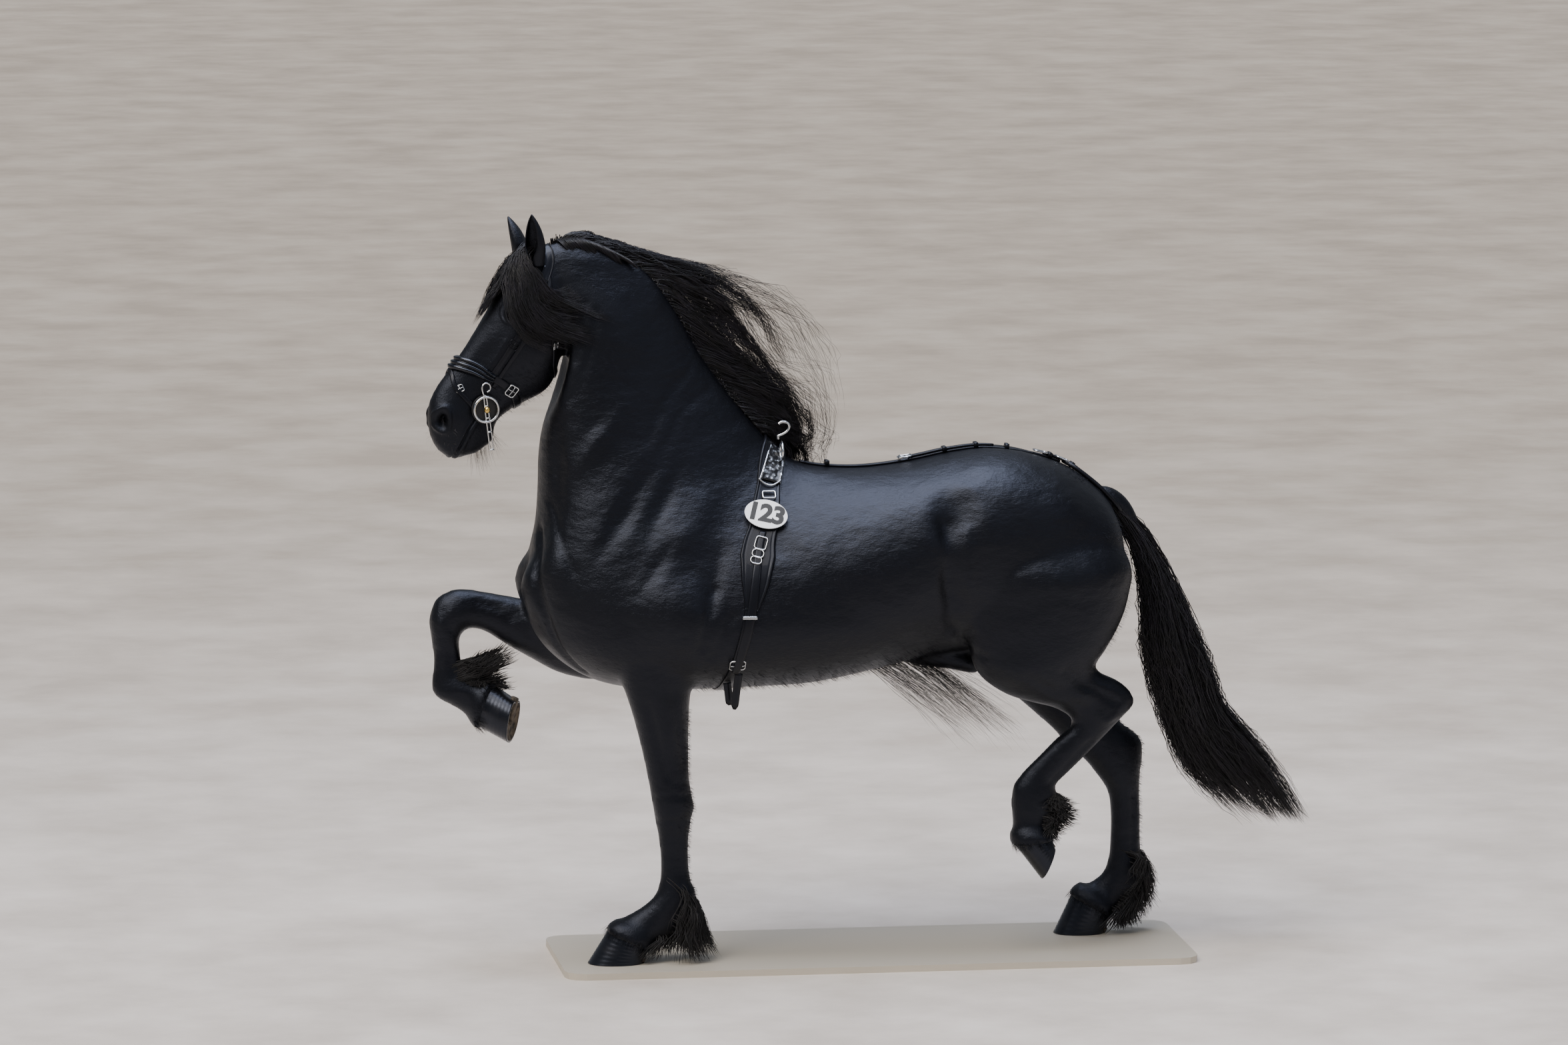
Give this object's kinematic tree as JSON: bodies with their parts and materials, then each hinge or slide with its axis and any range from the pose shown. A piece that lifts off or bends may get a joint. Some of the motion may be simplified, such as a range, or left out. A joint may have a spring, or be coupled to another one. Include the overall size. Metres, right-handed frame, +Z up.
{
  "type": "friesian horse figure",
  "caption": "Life-size still model of a black Friesian stallion in a high trot, wearing a show bridle, surcingle and crupper, on a flat display base.",
  "frame": {"origin": "centre of the bounding box, at the base's underside", "axes": "+Z up, -X the way the horse faces, -Y its left (near) side"},
  "size_m": [2.6724, 0.6562, 2.2509],
  "materials": {
    "coat": "short glossy black coat with a cool sheen",
    "hair": "long black horse hair",
    "horn": "oiled black hoof horn with growth rings",
    "eye": "wet dark brown eye",
    "leather": "black harness leather, patent on the noseband and pad",
    "metal": "polished nickel-plated fittings",
    "brass": "polished brass boss",
    "rubber": "matt black bit guard",
    "plate_white": "white number disc",
    "stand": "matt sand-coloured base plate"
  },
  "bodies": {
    "root": {"bit": "metal", "bit_ball_left": "brass", "bit_ball_right": "brass", "bit_guard_left": "rubber", "bit_guard_right": "rubber", "bridle_browband": "leather", "bridle_chin_strap": "leather", "bridle_crown": "leather", "bridle_flash": "leather", "bridle_noseband": "leather", "bridle_throatlash": "leather", "buckle_billet_left": "metal", "buckle_billet_right": "metal", "buckle_cheek_left": "metal", "buckle_cheek_right": "metal", "buckle_flash": "metal", "buckle_girth_left": "metal", "buckle_girth_right": "metal", "buckle_nose": "metal", "buckle_throat": "metal", "cannon_fore_left": "coat", "cannon_fore_right": "coat", "cannon_hind_left": "coat", "cannon_hind_right": "coat", "crupper_dee": "metal", "crupper_loop": "leather", "crupper_strap": "leather", "ear_left": "coat", "ear_right": "coat", "eye_left": "eye", "eye_right": "eye", "foot_fore_left": "coat", "foot_fore_right": "coat", "foot_hind_left": "coat", "foot_hind_right": "coat", "forearm_fore_left": "coat", "forearm_fore_right": "coat", "gaskin_hind_left": "coat", "gaskin_hind_right": "coat", "head": "coat", "hoof_fore_left": "horn", "hoof_fore_right": "horn", "hoof_hind_left": "horn", "hoof_hind_right": "horn", "neck": "coat", "number_plate": "plate_white", "stand_base": "stand", "surcingle_dee_left": "metal", "surcingle_dee_right": "metal", "surcingle_girth": "leather", "surcingle_hook": "metal", "surcingle_keeper_left": "metal", "surcingle_keeper_right": "metal", "surcingle_pad": "leather", "surcingle_plate_left": "metal", "surcingle_plate_right": "metal", "tail": "hair", "terret_left": "metal", "terret_right": "metal", "torso": "coat"}
  },
  "joints": []
}
